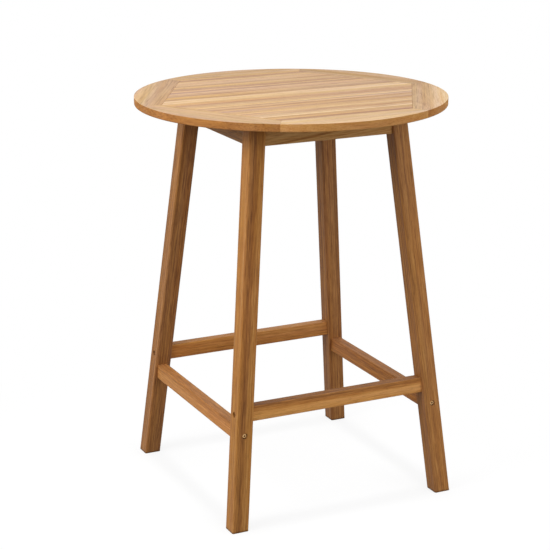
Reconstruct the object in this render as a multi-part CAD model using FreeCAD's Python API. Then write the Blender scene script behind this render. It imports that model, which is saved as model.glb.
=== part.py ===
import FreeCAD, Part
import math
import os

from FreeCAD import Vector

# Outdoor bar table: a round slatted top on four legs that splay both ways.
# Millimetres, +Z up. The origin is on the floor under the middle of the top.
# The front is -Y, and the slats run along X.

# Whole table
table_height = 1030.0
top_diameter = 800.0
top_thickness = 20.0

# Top: a ring of curved segments round a hexagonal field of slats
ring_width_at_joints = 44.0
rim_upper_round = 1.0
rim_lower_round = 3.0
ring_joint_gap = 0.3
slat_count = 9
edge_slat_width = 49.0
slat_gap = 0.3
field_gap = 0.4
joint_bevel = 0.3
tongue_length = 8.0
groove_height = 6.0
spline_length = 24.0
spline_wall = 6.5

# Legs, measured on level sections
leg_side = 44.0
leg_corner_round = 4.0
foot_spread = 585.0
head_spread = 387.0

# Aprons under the top
apron_height = 60.0
apron_thickness = 22.0
apron_setback = 5.0
apron_round = 2.0

# Stretchers: the front and back pair is higher than the left and right pair
stretcher_height = 40.0
stretcher_thickness = 28.0
stretcher_round = 3.0
upper_stretcher_level = 294.0
lower_stretcher_level = 244.0

# Stretcher bolts with socket heads and washers in counterbores, their barrel nuts and the locating dowels
bolt_diameter = 6.0
bolt_tail = 8.0
bolt_head_diameter = 10.0
bolt_head_height = 6.0
bolt_recess = 3.0
bolt_washer_diameter = 12.0
bolt_washer_thickness = 1.6
counterbore_clearance = 2.0
socket_across_flats = 5.0
socket_depth = 3.0
barrel_diameter = 10.0
barrel_length = 20.0
barrel_wall = 4.0
dowel_diameter = 8.0
dowel_length = 30.0
dowel_rise = 12.0

# Corner blocks inside the apron frame, with a hanger bolt into each leg
block_height = 50.0
block_thickness = 28.0
block_leg_gap = 2.0
hanger_diameter = 8.0
hanger_engagement = 28.0
hanger_tail = 4.0
washer_diameter = 20.0
washer_thickness = 1.6
nut_across_flats = 13.0
nut_thickness = 6.5

# Battens under the slats, inside the apron frame
batten_width = 40.0
batten_thickness = 20.0
batten_round = 2.0
batten_block_gap = 6.0

# Wood screws
screw_diameter = 4.0
screw_head_diameter = 8.0
screw_head_height = 2.5
block_screw_length = 28.0
top_screw_length = 35.0
top_screw_bite = 12.0
top_screw_offset = 20.0
batten_screw_length = 29.0
batten_screw_sink = 1.0
batten_screw_margin = 15.0
block_screw_level_share = 0.25

# Fits
fit_clearance = 0.15
butt_gap = 0.1
overrun = 5.0
same_place = 0.001

# Values worked out from the sizes above
field_sides = 6
half_angle = math.pi / field_sides
half_angle_degrees = math.degrees(half_angle)
quarter_turn = 90.0
top_radius = top_diameter / 2
leg_length = table_height - top_thickness
field_apothem = (top_radius - ring_width_at_joints) * math.cos(half_angle)
slat_width = (2 * field_apothem - 2 * edge_slat_width) / (slat_count - 2)
tongue_thickness = groove_height - 2 * fit_clearance
groove_bottom = leg_length + (top_thickness - groove_height) / 2
tongue_bottom = groove_bottom + fit_clearance
barrel_setback = dowel_length / 2 + barrel_wall + barrel_diameter / 2
bolt_length = leg_side - bolt_recess - bolt_head_height + barrel_setback + barrel_diameter / 2 + bolt_tail
apron_level = leg_length - apron_height / 2
block_level = leg_length - block_height / 2

ORIGIN = Vector(0, 0, 0)
UP = Vector(0, 0, 1)
ALONG_X = Vector(1, 0, 0)
ALONG_Y = Vector(0, 1, 0)
DIAGONAL_MIRROR = Vector(1, -1, 0)

# Going round the table in quarter turns from the back rail and the back right corner
side_names = ["back", "left", "front", "right"]
corner_names = ["back_right", "back_left", "front_left", "front_right"]
stretcher_levels = {
    "back": upper_stretcher_level,
    "left": lower_stretcher_level,
    "front": upper_stretcher_level,
    "right": lower_stretcher_level,
}


# Small helpers

def quarter_turned(shape, turns):
    return shape.rotated(ORIGIN, UP, quarter_turn * turns)


def mirrored_ends(shape):
    return [shape, shape.mirror(ORIGIN, ALONG_X)]


def across_diagonal(shape):
    return shape.mirror(ORIGIN, DIAGONAL_MIRROR)


def rod(diameter, start, end):
    return Part.makeCylinder(diameter / 2, end - start, Vector(start, 0, 0), ALONG_X)


def post(diameter, start, end):
    return Part.makeCylinder(diameter / 2, end - start, Vector(0, 0, start), UP)


def hexagon_rod(across_flats, start, end):
    corner_radius = across_flats / 2 / math.cos(half_angle)
    points = []
    for corner in range(field_sides + 1):
        angle = 2 * half_angle * corner
        points.append(Vector(start, corner_radius * math.cos(angle), corner_radius * math.sin(angle)))
    return Part.Face(Part.makePolygon(points)).extrude(Vector(end - start, 0, 0))


def level_prism(points, bottom, height):
    outline = [Vector(x, y, bottom) for x, y in points]
    outline.append(outline[0])
    return Part.Face(Part.makePolygon(outline)).extrude(Vector(0, 0, height))


def edges_at(shape, axis, value):
    return [
        edge for edge in shape.Edges
        if all(abs(getattr(vertex, axis) - value) < same_place for vertex in edge.Vertexes)
    ]


def leg_axis(level):
    """Distance of a leg's axis from the two middle planes of the table at a level."""
    return (foot_spread + (head_spread - foot_spread) * level / leg_length) / 2


def leg_inner(level):
    return leg_axis(level) - leg_side / 2


def leg_outer(level):
    return leg_axis(level) + leg_side / 2


# Slatted field and ring

def field_half_width(y, apothem):
    return (apothem - abs(y) * math.sin(half_angle)) / math.cos(half_angle)


def field_strip(low, high, apothem, bottom, height):
    """The part of a hexagonal plate between two lines along X."""
    levels = [low, high]
    if low < 0 < high:
        levels = [low, 0, high]
    right = [(field_half_width(y, apothem), y) for y in levels]
    left = [(-x, y) for x, y in reversed(right)]
    return level_prism(right + left, bottom, height)


slat_lines = [-field_apothem]
for step in range(slat_count - 1):
    slat_lines.append(edge_slat_width - field_apothem + slat_width * step)
slat_lines.append(field_apothem)


def slat(index, screw_bores):
    """A slat with tongues on its ends and its low edge, and a groove in its high edge."""
    first = index == 0
    last = index == slat_count - 1
    low = slat_lines[index] + (field_gap if first else slat_gap / 2)
    high = slat_lines[index + 1] - (field_gap if last else slat_gap / 2)
    edge_apothem = field_apothem - field_gap
    body = field_strip(low, high, edge_apothem, leg_length, top_thickness)
    body = body.makeChamfer(joint_bevel, edges_at(body, "Z", table_height))
    tongue_high = high + tongue_length
    if not last:
        tongue_high = high - tongue_length
        groove = Part.makeBox(top_diameter, tongue_length + overrun, groove_height)
        body = body.cut(groove.translated(Vector(-top_radius, tongue_high, groove_bottom)))
    tongue = field_strip(
        low - tongue_length, tongue_high, edge_apothem + tongue_length, tongue_bottom, tongue_thickness
    )
    return body.fuse(tongue).removeSplitter().cut(screw_bores)


spline_inner = (field_apothem + tongue_length) / math.cos(half_angle) + spline_wall
spline_outer = top_radius - spline_wall


def spline(play):
    """A loose tongue across a ring joint, laid out on the X axis, with play added all round."""
    width = spline_outer - spline_inner + 2 * play
    length = spline_length + 2 * play
    thickness = tongue_thickness + 2 * play
    corner = Vector(spline_inner - play, -length / 2, tongue_bottom - play)
    return Part.makeBox(width, length, thickness).translated(corner)


def ring_segment(index):
    """One segment of the ring: a straight inner side, two radial joints and a curved rim."""
    joint_half = ring_joint_gap / 2
    inner_half = field_apothem * math.tan(half_angle) - joint_half / math.cos(half_angle)
    reach = math.sqrt(top_radius ** 2 - joint_half ** 2)
    outer_x = reach * math.cos(half_angle) + joint_half * math.sin(half_angle)
    outer_y = reach * math.sin(half_angle) - joint_half * math.cos(half_angle)
    inner_low = Vector(field_apothem, -inner_half, leg_length)
    inner_high = Vector(field_apothem, inner_half, leg_length)
    outer_low = Vector(outer_x, -outer_y, leg_length)
    outer_high = Vector(outer_x, outer_y, leg_length)
    rim = Part.Arc(outer_low, Vector(top_radius, 0, leg_length), outer_high).toShape()
    outline = Part.Wire([
        Part.makeLine(inner_high, inner_low),
        Part.makeLine(inner_low, outer_low),
        rim,
        Part.makeLine(outer_high, inner_high),
    ])
    body = Part.Face(outline).extrude(Vector(0, 0, top_thickness))
    for level, rounding in ((table_height, rim_upper_round), (leg_length, rim_lower_round)):
        rim_edges = [edge for edge in edges_at(body, "Z", level) if isinstance(edge.Curve, Part.Circle)]
        body = body.makeFillet(rounding, rim_edges)
    inner_top = [edge for edge in edges_at(body, "X", field_apothem) if edge.BoundBox.ZMin > groove_bottom]
    body = body.makeChamfer(joint_bevel, inner_top)
    groove = Part.makeBox(tongue_length + overrun, top_diameter, groove_height)
    tools = [groove.translated(Vector(field_apothem - overrun, -top_radius, groove_bottom))]
    for side in (-half_angle_degrees, half_angle_degrees):
        tools.append(spline(fit_clearance).rotated(ORIGIN, UP, side))
    body = body.cut(tools)
    return body.rotated(ORIGIN, UP, half_angle_degrees * (2 * index + 1))


# Screws, pointing along +X from the top of the head

def screw(length, play, mouth):
    """A pan-head screw, or with play and a mouth behind the head, the bore for one."""
    shank = rod(screw_diameter + 2 * play, screw_head_height, length + play)
    head = rod(screw_head_diameter + 2 * play, -mouth, screw_head_height + play)
    return head.fuse(shank).removeSplitter()


def upright(shape):
    """Turn a shape that points along +X so that it points up."""
    return shape.rotated(ORIGIN, ALONG_Y, -quarter_turn)


# Corner block, laid out in the back right corner

apron_outer = leg_outer(apron_level) - apron_setback
apron_inner = apron_outer - apron_thickness
block_end = apron_inner - butt_gap
block_leg_sum = 2 * leg_inner(leg_length) - block_leg_gap * math.sqrt(2)
block_room_sum = block_leg_sum - block_thickness * math.sqrt(2)
block_room_distance = block_room_sum / math.sqrt(2)
wing_middle = (block_leg_sum + block_room_sum) / 2 - block_end
block_screw_start = block_room_sum - wing_middle + screw_head_diameter / 2


def block_screws(play, mouth):
    """The four screws that hold a corner block to its two aprons."""
    screws = []
    for share in (-block_screw_level_share, block_screw_level_share):
        place = Vector(block_screw_start, wing_middle, block_level + block_height * share)
        placed = screw(block_screw_length, play, mouth).translated(place)
        screws.append(placed)
        screws.append(across_diagonal(placed))
    return screws


def top_screws(play, mouth):
    """The two screws that go up through a corner block into the top."""
    middle = (block_leg_sum + block_room_sum) / 2 / 2
    step = top_screw_offset / math.sqrt(2)
    place = Vector(middle + step, middle - step, leg_length + top_screw_bite - top_screw_length)
    placed = upright(screw(top_screw_length, play, mouth)).translated(place)
    return [placed, across_diagonal(placed)]


def on_hanger_axis(shape):
    """Move a shape from the X axis to the diagonal of the back right corner."""
    return shape.rotated(ORIGIN, UP, quarter_turn / 2).translated(Vector(0, 0, block_level))


washer_start = block_room_distance - butt_gap - washer_thickness
nut_start = washer_start - butt_gap - nut_thickness
hanger_start = nut_start - hanger_tail
hanger_end = leg_inner(block_level) * math.sqrt(2) + hanger_engagement
hanger_hole = hanger_diameter + 2 * fit_clearance


def hanger_bolt():
    return on_hanger_axis(rod(hanger_diameter, hanger_start, hanger_end))


def hanger_bore():
    return on_hanger_axis(rod(hanger_hole, hanger_start, hanger_end + fit_clearance))


def hanger_washer():
    disc = rod(washer_diameter, washer_start, washer_start + washer_thickness)
    return on_hanger_axis(disc).cut(hanger_bore())


def hanger_nut():
    body = hexagon_rod(nut_across_flats, nut_start, nut_start + nut_thickness)
    return on_hanger_axis(body).cut(hanger_bore())


def corner_block():
    outline = [
        (block_end, block_room_sum - block_end),
        (block_end, block_leg_sum - block_end),
        (block_leg_sum - block_end, block_end),
        (block_room_sum - block_end, block_end),
    ]
    body = level_prism(outline, leg_length - block_height, block_height)
    bores = block_screws(fit_clearance, block_thickness)
    bores += top_screws(fit_clearance, block_height)
    bores.append(hanger_bore())
    return body.cut(bores)


# Stretcher joint, laid out at the right end of the back rail

def at_joint(shape, level):
    return shape.translated(Vector(0, leg_axis(level), level))


def head_seat(level):
    return leg_outer(level) - bolt_recess - bolt_head_height


def stretcher_bolt(level):
    seat = head_seat(level)
    crown = seat + bolt_head_height
    shank = rod(bolt_diameter, seat - bolt_length, seat)
    head = rod(bolt_head_diameter, seat, crown)
    socket = hexagon_rod(socket_across_flats, crown - socket_depth, crown + overrun)
    return at_joint(shank.fuse(head).removeSplitter().cut(socket), level)


def washer_seat(level):
    return head_seat(level) - butt_gap - bolt_washer_thickness


def stretcher_washer(level):
    seat = washer_seat(level)
    disc = rod(bolt_washer_diameter, seat, seat + bolt_washer_thickness)
    return at_joint(disc, level).cut(bolt_bore(level))


def bolt_bore(level):
    seat = head_seat(level)
    shank = rod(bolt_diameter + 2 * fit_clearance, seat - bolt_length - fit_clearance, seat)
    return at_joint(shank, level)


def counterbore(level):
    diameter = bolt_head_diameter + 2 * counterbore_clearance
    return at_joint(rod(diameter, washer_seat(level) - butt_gap, leg_outer(level) + overrun), level)


def barrel_nut(level):
    body = post(barrel_diameter, -barrel_length / 2, barrel_length / 2)
    placed = at_joint(body.translated(Vector(leg_inner(level) - barrel_setback, 0, 0)), level)
    return placed.cut(bolt_bore(level))


def barrel_bore(level):
    bottom = -stretcher_height / 2 - overrun
    body = post(barrel_diameter + 2 * fit_clearance, bottom, barrel_length / 2 + fit_clearance)
    return at_joint(body.translated(Vector(leg_inner(level) - barrel_setback, 0, 0)), level)


def locating_dowel(level, play):
    middle = leg_inner(level + dowel_rise)
    half = dowel_length / 2 + play
    body = rod(dowel_diameter + 2 * play, middle - half, middle + half)
    return at_joint(body.translated(Vector(0, 0, dowel_rise)), level)


def dowel_bore(level):
    return locating_dowel(level, fit_clearance)


# Legs and rails

def rounded_square(side, corner_round):
    half = side / 2
    flat = half - corner_round
    bulge = flat + corner_round * math.sqrt(0.5)
    arc = Part.Arc(Vector(half, flat, 0), Vector(bulge, bulge, 0), Vector(flat, half, 0)).toShape()
    line = Part.makeLine(Vector(flat, half, 0), Vector(-flat, half, 0))
    edges = []
    for turns in range(len(side_names)):
        edges.append(quarter_turned(arc, turns))
        edges.append(quarter_turned(line, turns))
    return Part.Face(Part.Wire(edges))


def leg(level_along_x, level_along_y):
    """The back right leg, bored for the two stretchers that meet it and for its hanger bolt."""
    foot = foot_spread / 2
    lean = head_spread / 2 - foot
    section = rounded_square(leg_side, leg_corner_round).translated(Vector(foot, foot, 0))
    body = section.extrude(Vector(lean, lean, leg_length))
    tools = []
    for bore in (bolt_bore, counterbore, dowel_bore):
        tools.append(bore(level_along_x))
        tools.append(across_diagonal(bore(level_along_y)))
    tools.append(hanger_bore())
    return body.cut(tools)


def rail(level, height, outer, thickness, edge_round):
    """A rail between the two back legs, with its ends cut to the splay of the legs."""
    low = level - height / 2
    high = level + height / 2
    half_low = leg_inner(low) - butt_gap
    half_high = leg_inner(high) - butt_gap
    inner = outer - thickness
    outline = [(-half_low, low), (half_low, low), (half_high, high), (-half_high, high), (-half_low, low)]
    face = Part.Face(Part.makePolygon([Vector(x, inner, z) for x, z in outline]))
    body = face.extrude(Vector(0, thickness, 0))
    long_edges = []
    for edge in body.Edges:
        start, end = edge.Vertexes
        if abs(start.Y - end.Y) < same_place and abs(start.Z - end.Z) < same_place:
            long_edges.append(edge)
    return body.makeFillet(edge_round, long_edges)


def apron():
    body = rail(apron_level, apron_height, apron_outer, apron_thickness, apron_round)
    bores = []
    for bore in block_screws(fit_clearance, block_thickness):
        bores += mirrored_ends(bore)
    return body.cut(bores)


def stretcher(level):
    outer = leg_axis(level) + stretcher_thickness / 2
    body = rail(level, stretcher_height, outer, stretcher_thickness, stretcher_round)
    bores = []
    for bore in (bolt_bore, barrel_bore, dowel_bore):
        bores += mirrored_ends(bore(level))
    return body.cut(bores)


# Battens, clear of the corner blocks, with a screw into the middle of each slat that they cross

batten_half = apron_inner - butt_gap
batten_middle = block_room_sum - block_end - batten_block_gap - batten_width / 2
slat_middles = [(low + high) / 2 for low, high in zip(slat_lines, slat_lines[1:])]
batten_places = [y for y in slat_middles if abs(y) < batten_half - batten_screw_margin]


def batten_screws(play, mouth):
    """The screws of the right batten."""
    start = leg_length - batten_thickness + batten_screw_sink
    placed = upright(screw(batten_screw_length, play, mouth))
    return [placed.translated(Vector(batten_middle, y, start)) for y in batten_places]


def batten():
    body = Part.makeBox(batten_width, 2 * batten_half, batten_thickness)
    corner = Vector(batten_middle - batten_width / 2, -batten_half, leg_length - batten_thickness)
    body = body.translated(corner)
    lower_edges = edges_at(body, "Z", leg_length - batten_thickness)
    body = body.makeFillet(batten_round, [edge for edge in lower_edges if edge.Length > batten_width])
    return body.cut(batten_screws(fit_clearance, batten_thickness))


# Assembly: one file for each piece, or for each group of identical fasteners

corners = range(len(corner_names))
top_bores = mirrored_ends(Part.makeCompound(batten_screws(fit_clearance, 0)))
for turns in corners:
    top_bores += [quarter_turned(bore, turns) for bore in top_screws(fit_clearance, 0)]

nodes = {}
for index in range(field_sides):
    nodes["ring_segment_%d" % (index + 1)] = ring_segment(index)
for index in range(slat_count):
    nodes["slat_%d" % (index + 1)] = slat(index, top_bores)
for side, name in enumerate(["batten_right", "batten_left"]):
    nodes[name] = mirrored_ends(batten())[side]

groups = {
    "stretcher_bolts": [],
    "stretcher_washers": [],
    "barrel_nuts": [],
    "stretcher_dowels": [],
    "hanger_bolts": [],
    "hanger_washers": [],
    "hanger_nuts": [],
    "block_screws": [],
    "top_screws": [],
    "batten_screws": [],
    "ring_splines": [],
}

for turns in corners:
    side = side_names[turns]
    level = stretcher_levels[side]
    previous_level = stretcher_levels[side_names[turns - 1]]
    corner = corner_names[turns]
    nodes["leg_" + corner] = quarter_turned(leg(level, previous_level), turns)
    nodes["apron_" + side] = quarter_turned(apron(), turns)
    nodes["stretcher_" + side] = quarter_turned(stretcher(level), turns)
    nodes["corner_block_" + corner] = quarter_turned(corner_block(), turns)
    joint_pieces = {
        "stretcher_bolts": mirrored_ends(stretcher_bolt(level)),
        "stretcher_washers": mirrored_ends(stretcher_washer(level)),
        "barrel_nuts": mirrored_ends(barrel_nut(level)),
        "stretcher_dowels": mirrored_ends(locating_dowel(level, 0)),
        "hanger_bolts": [hanger_bolt()],
        "hanger_washers": [hanger_washer()],
        "hanger_nuts": [hanger_nut()],
        "block_screws": block_screws(0, 0),
        "top_screws": top_screws(0, 0),
    }
    for name, pieces in joint_pieces.items():
        groups[name] += [quarter_turned(piece, turns) for piece in pieces]

for piece in batten_screws(0, 0):
    groups["batten_screws"] += mirrored_ends(piece)
for index in range(field_sides):
    groups["ring_splines"].append(spline(0).rotated(ORIGIN, UP, 2 * half_angle_degrees * index))

for name, pieces in groups.items():
    nodes[name] = Part.makeCompound(pieces)

os.makedirs("parts", exist_ok=True)
for name, shape in nodes.items():
    shape.exportStep("parts/%s.step" % name)
print("%d nodes, %d solids" % (len(nodes), sum(len(shape.Solids) for shape in nodes.values())))
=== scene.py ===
import math

import bpy
from mathutils import Matrix, Vector


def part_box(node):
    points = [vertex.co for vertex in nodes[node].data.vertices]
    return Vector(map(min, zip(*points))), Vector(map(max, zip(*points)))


# Dressing of the outdoor bar table. Every solid keeps its place and shape and gets its wood or metal here.
# Metres, +Z up. The front is -Y, and the slats run along X.

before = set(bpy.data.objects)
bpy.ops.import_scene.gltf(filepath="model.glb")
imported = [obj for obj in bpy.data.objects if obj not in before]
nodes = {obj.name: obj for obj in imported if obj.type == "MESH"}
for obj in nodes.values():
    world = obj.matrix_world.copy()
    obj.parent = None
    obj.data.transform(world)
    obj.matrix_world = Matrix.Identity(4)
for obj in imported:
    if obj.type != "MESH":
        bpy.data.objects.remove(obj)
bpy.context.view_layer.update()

# Directions, and the way from the middle to each corner and each side
along_x = Vector((1, 0, 0))
along_y = Vector((0, 1, 0))
up = Vector((0, 0, 1))
corner_ways = {"back_right": (1, 1), "back_left": (-1, 1), "front_left": (-1, -1), "front_right": (1, -1)}
side_ways = {"back": (0, 1), "left": (-1, 0), "front": (0, -1), "right": (1, 0)}

# Camera, fitted to the rim, the legs and the feet
camera_azimuth = -25.846
camera_elevation = 16.210
camera_distance = 4.4288
camera_side_step = -0.04095
camera_target_height = 0.54871
camera_sensor = 36.0
camera_clip_end = 120.0
image_pixels = 550
focal_pixels = 1682.74

# Floor: its size, the tone that lights the object, and the share of real light that shows its shadow
floor_half = 30.0
floor_roughness = 0.9
floor_bounce_tone = 0.15
floor_shadow_share = 0.085

# Light that reaches the open floor, and the distances from the middle over which the shadow fades
floor_lit_level = 1.75
shadow_fade_start = 0.5
shadow_fade_end = 1.1

# Strength of the sky on the rays that light the object
sky_strength = 0.61

# Lamps: place, size across and power in watts
lamp_aim = Vector((0, 0, 0.5))
lamps = {
    "overhead_light": (Vector((0.0, 0.0, 3.2)), 2.4, 18.4),
    "left_light": (Vector((-2.15, -0.45, 1.9)), 1.2, 35.0),
    "front_light": (Vector((1.4, -2.4, 1.6)), 1.2, 18.5),
}
floor_lamp_place = Vector((0.0, 0.0, 3.2))
floor_lamp_size = 0.75
floor_lamp_power = 101.0

# Wood patterns: cycles per metre along and across the fibres, and the detail of the noise
warp_pattern = ((1.1, 7.0, 7.0), 1.0)
band_pattern = ((0.25, 55.0, 55.0), 1.0)
streak_pattern = ((0.3, 190.0, 190.0), 3.0)
vein_pattern = ((7.0, 420.0, 420.0), 2.0)
fibre_pattern = ((22.0, 800.0, 800.0), 2.0)
pore_pattern = ((55.0, 1500.0, 1500.0), 1.0)
tint_pattern = ((2.0, 45.0, 45.0), 1.0)

# Detail of the growth rings, and the value that all noise swings about
ring_detail = 3.0
noise_middle = 0.5

# Seed of the first piece, steps through the patterns from one seed to the next, and the step of the seed
# from a piece to its partner
first_seed = 1.0
seed_step = Vector((3.7, 1.3, 0.7))
ring_seed_step = 11.0
partner_step = 0.5

# Levels between which a pattern goes from none to full
band_levels = (0.42, 0.58)
vein_levels = (0.52, 0.66)
pore_levels = (0.60, 0.70)

# Changes of the wood's surface
neutral_hue = 0.5
hue_swing = 0.012
saturation_swing = 0.12
roughness_swing = 0.25
# Upward faces paler, partly weather bleaching and partly painted sheen of the sky: the tint at full strength,
# and the levels of facing up between which it comes in
sheen_and_bleach_tint = Vector((1.33, 2.05, 4.35))
sheen_and_bleach_levels = (0.3, 0.9)
fibre_height_share = 0.5
grain_bump_strength = 0.35
grain_bump_depth = 0.0003

# Painted shade at the feet where they meet the floor: heights between which it fades out, and the share of
# the colour left at the floor
painted_foot_shade_levels = (0.0, 0.007)
painted_foot_shade_tone = 0.4

# Depth of the points that count as the end of a leg
leg_end_depth = 0.0005


def srgb(red, green, blue):
    """A colour given in display values from 0 to 255, as the linear colour that shaders take."""
    channels = []
    for value in (red, green, blue):
        share = value / 255
        channels.append(share / 12.92 if share <= 0.04045 else ((share + 0.055) / 1.055) ** 2.4)
    return (*channels, 1.0)


# Each look: colours from dark to light, the pith line beside the piece with the taper, number per metre and
# waves of its growth rings, how strong each pattern is, and the surface. Each ring segment sets its own end
# tone, and each leg its own saturation.
wood_looks = {
    "top": {
        "colours": (srgb(137, 81, 43), srgb(187, 126, 65), srgb(214, 158, 87)),
        "pith": (0.16, -0.05), "taper": 0.012, "ring_rate": 160.0, "warp": 0.010,
        "rings": 0.55, "bands": 0.22, "streaks": 0.8, "fibres": 0.45, "veins": 0.26, "pores": 0.30,
        "end_tone": -0.25, "saturation": 1.0, "roughness": 0.65, "gloss": 0.15, "sheen_and_bleach": 1.0,
    },
    "ring": {
        "colours": (srgb(131, 82, 42), srgb(187, 128, 68), srgb(214, 161, 97)),
        "pith": (0.02, -0.06), "taper": 0.050, "ring_rate": 150.0, "warp": 0.018,
        "rings": 0.3, "bands": 0.05, "streaks": 0.35, "fibres": 0.45, "veins": 0.22, "pores": 0.30,
        "saturation": 1.0, "roughness": 0.65, "gloss": 0.1, "sheen_and_bleach": 0.94,
    },
    "legs": {
        "colours": (srgb(114, 70, 35), srgb(177, 119, 61), srgb(210, 160, 96)),
        "pith": (0.05, 0.06), "taper": 0.004, "ring_rate": 190.0, "warp": 0.002,
        "rings": 0.3, "bands": 0.08, "streaks": 0.75, "fibres": 1.1, "veins": 0.18, "pores": 0.35,
        "end_tone": -0.3, "roughness": 0.55, "gloss": 0.15, "sheen_and_bleach": 0.15,
    },
    "rails": {
        "colours": (srgb(112, 69, 35), srgb(183, 119, 59), srgb(224, 164, 94)),
        "pith": (0.05, -0.05), "taper": 0.012, "ring_rate": 180.0, "warp": 0.008,
        "rings": 0.35, "bands": 0.04, "streaks": 0.6, "fibres": 1.1, "veins": 0.16, "pores": 0.35,
        "end_tone": -0.3, "saturation": 1.0, "roughness": 0.55, "gloss": 0.15, "sheen_and_bleach": 0.15,
    },
    "aprons": {
        "colours": (srgb(110, 73, 36), srgb(177, 124, 66), srgb(211, 165, 102)),
        "pith": (0.0, -0.03), "taper": 0.060, "ring_rate": 190.0, "warp": 0.020,
        "rings": 1.6, "bands": 0.0, "streaks": 0.6, "fibres": 0.9, "veins": 0.16, "pores": 0.35,
        "end_tone": -0.3, "saturation": 1.0, "roughness": 0.55, "gloss": 0.15, "sheen_and_bleach": 0.15,
    },
    "inner_wood": {
        "colours": (srgb(120, 80, 40), srgb(178, 126, 68), srgb(210, 166, 104)),
        "pith": (0.06, -0.05), "taper": 0.012, "ring_rate": 170.0, "warp": 0.010,
        "rings": 0.7, "bands": 0.06, "streaks": 0.7, "fibres": 0.5, "veins": 0.1, "pores": 0.18,
        "end_tone": -0.25, "saturation": 1.0, "roughness": 0.6, "gloss": 0.2, "sheen_and_bleach": 0.0,
    },
}

# Tones across each piece, spaced evenly: 0 is dark, 1 is light. Slats: front edge to back edge
slat_tone_shares = [
    (0.27, 0.25, 0.31),
    (0.64, 0.44, 0.62),
    (0.48, 0.40, 0.48),
    (0.58, 0.44, 0.28),
    (0.46, 0.56, 0.72),
    (0.46, 0.36, 0.28),
    (0.42, 0.34, 0.42),
    (0.34, 0.38, 0.58),
    (0.46, 0.36, 0.38),
]

# Ring segments: rim to field, the first one between the joints at +X and 60 degrees on
ring_tone_shares = [
    (0.42, 0.32, 0.36),
    (0.42, 0.38, 0.42),
    (0.45, 0.34, 0.37),
    (0.36, 0.42, 0.42),
    (0.66, 0.50, 0.48),
    (0.74, 0.36, 0.36),
]

# Ring segments: what is added where the rim cuts across the grain: darker end grain, and on the fifth segment
# a painted highlight on its rim
ring_end_tones = (-0.2, -0.2, -0.2, -0.2, 1.35, -0.2)

# Legs: -X face to +X face. Partly the wood's own tone, partly painted shade on the inner faces under the
# table top
leg_tone_and_shade_shares = {
    "back_right": (0.22, 0.40, 0.36, 0.33, 0.37),
    "back_left": (0.34, 0.25, 0.26, 0.25, 0.34),
    "front_left": (0.49, 0.30, 0.27, 0.54, 0.58),
    "front_right": (0.32, 0.40, 0.46, 0.50, 0.46),
}

# Legs: how strong the colour is
leg_saturations = {"back_right": 0.97, "back_left": 0.98, "front_left": 1.02, "front_right": 0.985}

# Rails: lower edge to upper edge
apron_tone_shares = {
    "back": (0.45, 0.45, 0.45),
    "left": (0.35, 0.36, 0.36),
    "front": (0.72, 0.80, 0.80),
    "right": (0.45, 0.45, 0.45),
}
# Stretchers: the upper stops are partly painted shade, darker on the top faces under the table top
stretcher_tone_and_shade_shares = {
    "back": (0.44, 0.58, 0.58),
    "left": (0.62, 0.68, 0.42),
    "front": (0.82, 0.94, 0.20),
    "right": (0.36, 0.40, 0.30),
}
inner_tone_shares = (0.5, 0.5, 0.5)

# Steel: its uneven bloom, and for the painted shade in its sockets, how far round a point is looked at to
# find them
steel_bloom_pattern = ((180.0, 180.0, 180.0), 3.0)
steel_bloom_levels = (0.3, 0.7)
steel_colours = (srgb(190, 142, 90), srgb(222, 182, 130))
steel_roughness = 0.42
socket_shade_reach = 0.006
socket_shade_levels = (0.0, 0.8)
steel_nodes = (
    "stretcher_bolts", "stretcher_washers", "barrel_nuts", "hanger_bolts", "hanger_washers", "hanger_nuts",
    "block_screws", "top_screws", "batten_screws",
)


# Node helpers

def add_node(tree, kind, inputs, **settings):
    """Add a shader node, with its settings, and with each input set or linked."""
    node = tree.nodes.new(kind)
    for name, value in settings.items():
        setattr(node, name, value)
    for key, value in inputs.items():
        if isinstance(value, bpy.types.NodeSocket):
            tree.links.new(value, node.inputs[key])
        else:
            node.inputs[key].default_value = value
    return node


def calculate(tree, operation, first, second):
    """One step of arithmetic on two numbers."""
    return add_node(tree, "ShaderNodeMath", {0: first, 1: second}, operation=operation).outputs["Value"]


def vector_step(tree, operation, first, second):
    """One step of arithmetic on two vectors."""
    node = add_node(tree, "ShaderNodeVectorMath", {0: first, 1: second}, operation=operation)
    return node.outputs["Value" if operation in ("LENGTH", "DOT_PRODUCT") else "Vector"]


def scaled(tree, vector, factor):
    """A vector or colour times a number."""
    node = add_node(tree, "ShaderNodeVectorMath", {0: vector, "Scale": factor}, operation="SCALE")
    return node.outputs["Vector"]


def noise(tree, place, pattern):
    """Soft noise about its middle, in one value and in a colour."""
    rate, detail = pattern
    stretched = vector_step(tree, "MULTIPLY", place, rate)
    node = add_node(tree, "ShaderNodeTexNoise", {"Vector": stretched, "Scale": 1.0, "Detail": detail})
    return node.outputs[0], node.outputs["Color"]


def centred(tree, value, strength):
    """Noise brought to swing about zero with this strength."""
    return calculate(tree, "MULTIPLY", calculate(tree, "SUBTRACT", value, noise_middle), strength)


def between(tree, value, levels, start=0.0):
    """The start value below the first level, 1 above the second, and a soft step between them."""
    low, high = levels
    node = add_node(
        tree, "ShaderNodeMapRange",
        {"Value": value, "From Min": low, "From Max": high, "To Min": start},
        interpolation_type="SMOOTHSTEP",
    )
    return node.outputs["Result"]


def parts_of(tree, vector):
    """The X, Y and Z of a vector or colour."""
    return add_node(tree, "ShaderNodeSeparateXYZ", {"Vector": vector}).outputs


def ramp(tree, value, colours):
    """A colour ramp with these colours, spaced evenly."""
    node = add_node(tree, "ShaderNodeValToRGB", {"Fac": value})
    elements = node.color_ramp.elements
    while len(elements) < len(colours):
        elements.new(1.0)
    for step, colour in enumerate(colours):
        elements[step].position = step / (len(colours) - 1)
        elements[step].color = colour
    return node.outputs["Color"]


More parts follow.
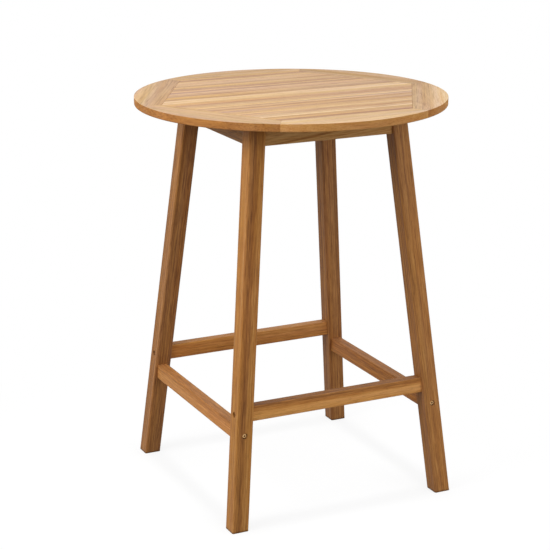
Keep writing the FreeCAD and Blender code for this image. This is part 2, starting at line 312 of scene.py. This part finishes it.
def new_material(name):
    """A new material, its node tree and its shader."""
    material = bpy.data.materials.new(name)
    material.use_nodes = True
    return material, material.node_tree, material.node_tree.nodes["Principled BSDF"]


# Wood

def piece_axes(grain, face):
    """Axes of a piece: X along the grain, Z out of its widest face."""
    along = Vector(grain).normalized()
    across = Vector(face).cross(along).normalized()
    return Matrix((along, across, along.cross(across))).transposed()


def growth_rings(tree, look, place, bend, seed):
    """Growth rings about a pith line beside the piece, bent by slow noise."""
    bent = vector_step(tree, "ADD", place, bend)
    from_pith = vector_step(tree, "SUBTRACT", bent, Vector((0, *look["pith"])))
    radius = vector_step(tree, "LENGTH", vector_step(tree, "MULTIPLY", from_pith, (0, 1, 1)), (0, 0, 0))
    lean = vector_step(tree, "DOT_PRODUCT", bent, (look["taper"], 0, 0))
    count = calculate(tree, "MULTIPLY", calculate(tree, "ADD", radius, lean), look["ring_rate"])
    count = calculate(tree, "ADD", count, seed * ring_seed_step)
    node = add_node(
        tree, "ShaderNodeTexNoise", {"W": count, "Scale": 1.0, "Detail": ring_detail}, noise_dimensions="1D",
    )
    return node.outputs[0]


def tone_across(tree, place, half_width, tones):
    """The tones set for a piece, from its low edge to its high edge."""
    share = add_node(
        tree, "ShaderNodeMapRange",
        {"Value": parts_of(tree, place)["Y"], "From Min": -half_width, "From Max": half_width},
    ).outputs["Result"]
    return ramp(tree, share, [(tone, tone, tone, 1.0) for tone in tones])


def wood(name, look, middle, axes, half_width, tones, seed):
    """Wood with its own grain for one piece."""
    material, tree, shader = new_material(name)
    source = tree.nodes.new("ShaderNodeTexCoord")
    normal = source.outputs["Normal"]
    place = add_node(
        tree, "ShaderNodeMapping",
        {"Vector": source.outputs["Object"], "Location": middle, "Rotation": axes.to_euler()},
        vector_type="TEXTURE",
    ).outputs["Vector"]
    own = vector_step(tree, "ADD", place, seed_step * seed)

    bend = noise(tree, own, warp_pattern)[1]
    bend = scaled(tree, vector_step(tree, "SUBTRACT", bend, [noise_middle] * 3), look["warp"])
    wavy = vector_step(tree, "ADD", own, bend)
    rings = growth_rings(tree, look, place, bend, seed)
    bands = between(tree, noise(tree, wavy, band_pattern)[0], band_levels)
    streaks = noise(tree, wavy, streak_pattern)[0]
    veins = between(tree, noise(tree, wavy, vein_pattern)[0], vein_levels)
    fibres = noise(tree, own, fibre_pattern)[0]
    pores = between(tree, noise(tree, own, pore_pattern)[0], pore_levels)
    tint = parts_of(tree, noise(tree, wavy, tint_pattern)[1])

    # Tone set for the piece, then the patterns, then what changes where the surface cuts across the grain
    tone = tone_across(tree, place, half_width, tones)
    for value, strength in (
        (rings, look["rings"]), (bands, look["bands"]), (streaks, look["streaks"]), (fibres, look["fibres"]),
    ):
        tone = calculate(tree, "ADD", tone, centred(tree, value, strength))
    tone = calculate(tree, "SUBTRACT", tone, calculate(tree, "MULTIPLY", veins, look["veins"]))
    # Where the surface cuts across the grain: darker end grain, and on one ring segment a painted highlight
    end = vector_step(tree, "DOT_PRODUCT", normal, axes.col[0])
    end = calculate(tree, "MULTIPLY", end, end)
    tone = calculate(tree, "ADD", tone, calculate(tree, "MULTIPLY", end, look["end_tone"]))

    # Colour, with small changes of hue, dark pores, painted shade at the feet, and upward faces made paler,
    # partly by weather bleaching and partly by a painted sheen of the sky
    hue = calculate(tree, "ADD", centred(tree, tint["X"], hue_swing), neutral_hue)
    saturation = calculate(tree, "ADD", centred(tree, tint["Y"], saturation_swing), look["saturation"])
    colour = add_node(
        tree, "ShaderNodeHueSaturation",
        {"Color": ramp(tree, tone, look["colours"]), "Hue": hue, "Saturation": saturation},
    ).outputs["Color"]
    shade = calculate(tree, "SUBTRACT", 1.0, calculate(tree, "MULTIPLY", pores, look["pores"]))
    # Painted shade: the colour darkens towards the floor at the feet
    painted_foot_shade = between(tree, parts_of(tree, source.outputs["Object"])["Z"], painted_foot_shade_levels, painted_foot_shade_tone)
    colour = scaled(tree, colour, calculate(tree, "MULTIPLY", shade, painted_foot_shade))
    # Painted sheen and weather bleaching on the faces that look up
    sheen_and_bleach_share = between(tree, parts_of(tree, normal)["Z"], sheen_and_bleach_levels)
    sheen_and_bleach = (sheen_and_bleach_tint - Vector((1, 1, 1))) * look["sheen_and_bleach"]
    sheen_and_bleach = vector_step(tree, "ADD", scaled(tree, sheen_and_bleach, sheen_and_bleach_share), (1, 1, 1))
    tree.links.new(vector_step(tree, "MULTIPLY", colour, sheen_and_bleach), shader.inputs["Base Color"])

    shader.inputs["Specular IOR Level"].default_value = look["gloss"]
    rough = calculate(tree, "ADD", centred(tree, streaks, roughness_swing), look["roughness"])
    tree.links.new(rough, shader.inputs["Roughness"])
    height = calculate(tree, "SUBTRACT", calculate(tree, "MULTIPLY", fibres, fibre_height_share), pores)
    bump = add_node(
        tree, "ShaderNodeBump",
        {"Height": height, "Strength": grain_bump_strength, "Distance": grain_bump_depth},
    )
    tree.links.new(bump.outputs["Normal"], shader.inputs["Normal"])
    return material


def dress(node_name, material):
    """Give a node this material in all its slots."""
    for slot in nodes[node_name].material_slots:
        slot.material = material


def dress_wood(node_name, look_name, grain, face, tones, seed, **changes):
    """Give a node the wood of a look, with any changes to the look, set to the node's size and grain."""
    low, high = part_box(node_name)
    middle = (low + high) / 2
    axes = piece_axes(grain, face)
    points = [vertex.co - middle for vertex in nodes[node_name].data.vertices]
    half_width = max(abs(point.dot(axes.col[1])) for point in points)
    look = {**wood_looks[look_name], **changes}
    dress(node_name, wood(node_name + "_wood", look, middle, axes, half_width, tones, seed))


def leg_line(node_name):
    """Direction from the middle of a leg's foot to the middle of its head."""
    low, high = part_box(node_name)
    points = [vertex.co for vertex in nodes[node_name].data.vertices]
    middles = []
    for level in (low.z, high.z):
        nearest = min(abs(point.z - level) for point in points)
        end = [point for point in points if abs(point.z - level) < nearest + leg_end_depth]
        middles.append([
            (min(point[axis] for point in end) + max(point[axis] for point in end)) / 2 for axis in range(3)
        ])
    return Vector(middles[1]) - Vector(middles[0])


def dress_top(seed):
    """Slats along X, and ring segments along the sides of the field. Returns the next seed."""
    for index, tones in enumerate(slat_tone_shares):
        dress_wood("slat_%d" % (index + 1), "top", along_x, up, tones, seed + index)
    seed += len(slat_tone_shares)
    segment_angle = 360 / len(ring_tone_shares)
    for index, tones in enumerate(ring_tone_shares):
        angle = math.radians(segment_angle * (index + 0.5))
        grain = (-math.sin(angle), math.cos(angle), 0)
        name = "ring_segment_%d" % (index + 1)
        dress_wood(name, "ring", grain, up, tones, seed + index, end_tone=ring_end_tones[index])
    return seed + len(ring_tone_shares)


def dress_frame(seed):
    """Legs with their corner blocks, and aprons with the stretchers below them. Returns the next seed."""
    for corner, (x, y) in corner_ways.items():
        leg = "leg_" + corner
        tones = leg_tone_and_shade_shares[corner]
        dress_wood(leg, "legs", leg_line(leg), along_y, tones, seed, saturation=leg_saturations[corner])
        block = "corner_block_" + corner
        dress_wood(block, "inner_wood", (-x, y, 0), up, inner_tone_shares, seed + partner_step)
        seed += 1
    for side, (x, y) in side_ways.items():
        grain = (-y, x, 0)
        face = (x, y, 0)
        dress_wood("apron_" + side, "aprons", grain, face, apron_tone_shares[side], seed)
        tones = stretcher_tone_and_shade_shares[side]
        dress_wood("stretcher_" + side, "rails", grain, face, tones, seed + partner_step)
        seed += 1
    return seed


def dress_inner_wood(seed):
    """Battens under the slats, and the wooden pieces inside the joints."""
    for name, grain in (
        ("batten_right", along_y), ("batten_left", along_y),
        ("stretcher_dowels", along_x), ("ring_splines", along_x),
    ):
        dress_wood(name, "inner_wood", grain, up, inner_tone_shares, seed)
        seed += 1


# Metal

def plated_steel():
    """Warm plated steel with a dull, uneven bloom, and painted shade in its sockets."""
    material, tree, shader = new_material("plated_steel")
    source = tree.nodes.new("ShaderNodeTexCoord")
    bloom = noise(tree, source.outputs["Object"], steel_bloom_pattern)[0]
    colour = ramp(tree, between(tree, bloom, steel_bloom_levels), steel_colours)
    # Painted shade: darker where the bolt's own walls close round a point, as in its sockets
    open_share = add_node(
        tree, "ShaderNodeAmbientOcclusion", {"Distance": socket_shade_reach}, only_local=True,
    ).outputs["AO"]
    colour = scaled(tree, colour, between(tree, open_share, socket_shade_levels))
    tree.links.new(colour, shader.inputs["Base Color"])
    rough = calculate(tree, "ADD", centred(tree, bloom, roughness_swing), steel_roughness)
    tree.links.new(rough, shader.inputs["Roughness"])
    shader.inputs["Metallic"].default_value = 1.0
    return material


# Floor, sky, lights and camera

def seen_directly(tree):
    """1 on camera, glossy and transmission rays, which show the background, and 0 on those that light."""
    path = tree.nodes.new("ShaderNodeLightPath")
    seen = calculate(tree, "MAXIMUM", path.outputs["Is Camera Ray"], path.outputs["Is Glossy Ray"])
    return calculate(tree, "MAXIMUM", seen, path.outputs["Is Transmission Ray"])


def make_floor():
    """A pale floor, seen white, with a share of the light that falls on it so that it keeps the shadow."""
    mesh = bpy.data.meshes.new("floor")
    corners = [(-1, -1), (1, -1), (1, 1), (-1, 1)]
    mesh.from_pydata([(x * floor_half, y * floor_half, 0) for x, y in corners], [], [(0, 1, 2, 3)])
    floor = bpy.data.objects.new("floor", mesh)
    bpy.context.scene.collection.objects.link(floor)
    material, tree, shader = new_material("pale_floor")
    shader.inputs["Roughness"].default_value = floor_roughness
    shader.inputs["Specular IOR Level"].default_value = 0.0
    shader.inputs["Emission Color"].default_value = (1, 1, 1, 1)
    seen = seen_directly(tree)
    source = tree.nodes.new("ShaderNodeTexCoord")
    distance = vector_step(tree, "LENGTH", source.outputs["Object"], (0, 0, 0))
    shadow_share = add_node(
        tree, "ShaderNodeMapRange", {
            "Value": distance, "From Min": shadow_fade_start, "From Max": shadow_fade_end,
            "To Min": floor_shadow_share, "To Max": 0.0,
        }, interpolation_type="SMOOTHSTEP",
    ).outputs["Result"]
    tone = add_node(
        tree, "ShaderNodeMapRange", {"Value": seen, "To Min": floor_bounce_tone, "To Max": shadow_share},
    )
    tree.links.new(tone.outputs["Result"], shader.inputs["Base Color"])

    # The glow makes up what the lit share leaves short of white
    glow = calculate(tree, "SUBTRACT", 1.0, calculate(tree, "MULTIPLY", shadow_share, floor_lit_level))
    glow = calculate(tree, "MULTIPLY", glow, seen)
    tree.links.new(glow, shader.inputs["Emission Strength"])
    mesh.materials.append(material)
    return floor


def make_sky():
    """A sky that is seen white and lights the object at its own strength."""
    world = bpy.data.worlds.new("studio")
    world.use_nodes = True
    tree = world.node_tree
    background = tree.nodes["Background"]
    background.inputs["Color"].default_value = (1, 1, 1, 1)
    strength = add_node(
        tree, "ShaderNodeMapRange", {"Value": seen_directly(tree), "To Min": sky_strength, "To Max": 1.0},
    )
    tree.links.new(strength.outputs["Result"], background.inputs["Strength"])
    bpy.context.scene.world = world


def make_lamp(name, place, size, power):
    """A round soft lamp that faces the table."""
    light = bpy.data.lights.new(name, "AREA")
    light.shape = "DISK"
    light.size = size
    light.energy = power
    lamp = bpy.data.objects.new(name, light)
    lamp.location = place
    lamp.rotation_euler = (lamp_aim - place).to_track_quat("-Z", "Y").to_euler()
    bpy.context.scene.collection.objects.link(lamp)
    return lamp


def make_floor_lamp(floor):
    """A lamp above that lights the floor alone, with only the legs and stretchers in its way."""
    lamp = make_lamp("floor_light", floor_lamp_place, floor_lamp_size, floor_lamp_power)
    lit = bpy.data.collections.new("floor_light_reach")
    lit.objects.link(floor)
    shading = bpy.data.collections.new("floor_light_shade")
    for corner in corner_ways:
        shading.objects.link(nodes["leg_" + corner])
    for side in side_ways:
        shading.objects.link(nodes["stretcher_" + side])
    lamp.light_linking.receiver_collection = lit
    lamp.light_linking.blocker_collection = shading


def make_camera():
    """A camera at the fitted place, aimed at a point near the middle of the table."""
    azimuth = math.radians(camera_azimuth)
    elevation = math.radians(camera_elevation)
    back = Vector((
        math.sin(azimuth) * math.cos(elevation), -math.cos(azimuth) * math.cos(elevation), math.sin(elevation)
    ))
    right = Vector((math.cos(azimuth), math.sin(azimuth), 0))
    target = right * camera_side_step + up * camera_target_height
    data = bpy.data.cameras.new("camera")
    data.sensor_width = camera_sensor
    data.lens = camera_sensor * focal_pixels / image_pixels
    data.clip_end = camera_clip_end
    camera = bpy.data.objects.new("camera", data)
    camera.location = target + back * camera_distance
    camera.rotation_euler = back.to_track_quat("Z", "Y").to_euler()
    bpy.context.scene.collection.objects.link(camera)
    bpy.context.scene.camera = camera


# The whole scene

next_seed = dress_top(first_seed)
next_seed = dress_frame(next_seed)
dress_inner_wood(next_seed)
steel = plated_steel()
for name in steel_nodes:
    dress(name, steel)
make_floor_lamp(make_floor())
make_sky()
for name, (place, size, power) in lamps.items():
    make_lamp(name, place, size, power)
make_camera()
bpy.context.scene.view_settings.view_transform = "Standard"
